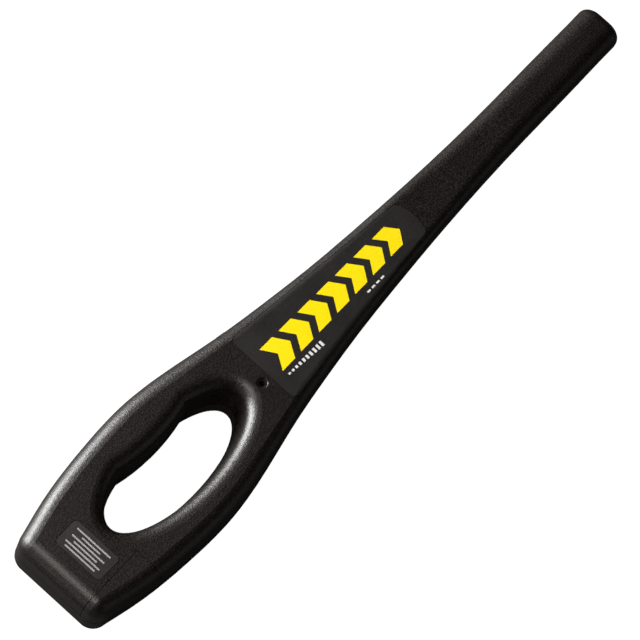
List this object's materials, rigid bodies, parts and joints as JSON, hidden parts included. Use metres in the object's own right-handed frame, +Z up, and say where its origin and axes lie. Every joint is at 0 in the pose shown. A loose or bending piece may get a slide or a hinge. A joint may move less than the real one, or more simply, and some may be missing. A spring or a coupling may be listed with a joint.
{
  "type": "hand-held security metal detector wand",
  "caption": "Hand-held wand metal detector with an oval hand hole in a broad grip, a tapered labelled body and a slim search bar.",
  "frame": {"origin": "under the middle of the wand's length and width, on the plane the underside rests on", "axes": "+X from the butt of the handle to the tip of the bar, +Y towards the edge with the controls, +Z up through the labelled face"},
  "size_m": [0.508, 0.0912, 0.041],
  "materials": {
    "shell_plastic": "black moulded plastic with a fine grain, satin where hands rub it",
    "label_film": "dark grey printed film",
    "plate_film": "dark grey foil plate",
    "control_plastic": "smooth black plastic",
    "component_plastic": "black component case",
    "lens_green": "clear green lens",
    "lens_amber": "clear amber lens",
    "lens_red": "clear red lens",
    "jack_metal": "plated",
    "board": "green solder resist on glass-fibre board",
    "screw_steel": "zinc-plated steel",
    "can_metal": "bright can",
    "winding": "enamelled copper wire",
    "foam": "soft foam",
    "cone": "thin film cone",
    "magnet_metal": "nickel-plated",
    "former_plastic": "natural nylon",
    "battery_wrap": "printed steel case",
    "lead_red": "red insulation",
    "lead_black": "black insulation"
  },
  "bodies": {
    "wand": {"upper_shell": "shell_plastic", "lower_shell": "shell_plastic", "face_label": "label_film", "rating_plate": "plate_film", "switch_body": "component_plastic", "tact_switch": "component_plastic", "led_green": "lens_green", "led_amber": "lens_amber", "led_red": "lens_red", "jack_body": "component_plastic", "jack_bush": "jack_metal", "jack_leads": "lead_black", "main_board": "board", "board_screws": "screw_steel", "microcontroller": "component_plastic", "amplifier": "component_plastic", "crystal": "can_metal", "trimmer_body": "component_plastic", "transformer": "component_plastic", "coil_socket": "former_plastic", "capacitors": "can_metal", "chips": "component_plastic", "speaker_gasket": "foam", "speaker_frame": "component_plastic", "speaker_magnet": "magnet_metal", "speaker_cone": "cone", "speaker_leads": "lead_red", "motor_can": "can_metal", "motor_bracket": "component_plastic", "motor_leads": "lead_red", "battery": "battery_wrap", "battery_terminals": "can_metal", "battery_snap": "component_plastic", "battery_leads": "lead_red", "battery_pad": "foam", "coil_former": "former_plastic", "search_coil": "winding", "coil_leads": "winding", "coil_pads": "foam", "case_screws": "screw_steel"},
    "power_switch": {"switch_knob": "control_plastic"},
    "mode_key": {"mode_button": "control_plastic"},
    "door": {"battery_door": "shell_plastic"},
    "motor_rotor": {"motor_weight": "magnet_metal"},
    "trimmer": {"trimmer_rotor": "can_metal"}
  },
  "joints": [
    {"name": "power_switch_slide", "type": "slide", "parent": "wand", "child": "power_switch", "axis": [0.9844, -0.1757, 0], "range_m": [-0.003, 0.003]},
    {"name": "mode_key_press", "type": "slide", "parent": "wand", "child": "mode_key", "axis": [-0.1473, -0.9891, 0], "range_m": [0, 0.0007], "stiffness_N_per_m": 400},
    {"name": "battery_door_slide", "type": "slide", "parent": "wand", "child": "door", "axis": [-1, 0, 0], "range_m": [0, 0.06]},
    {"name": "motor_spin", "type": "hinge", "parent": "wand", "child": "motor_rotor", "pos_m": [-0.142, 0.0345, 0.0195], "axis": [1, 0, 0], "continuous": true},
    {"name": "trimmer_turn", "type": "hinge", "parent": "wand", "child": "trimmer", "pos_m": [0.0175, -0.0065, 0.022], "axis": [0, 0, 1], "range_deg": [-135, 135]}
  ]
}
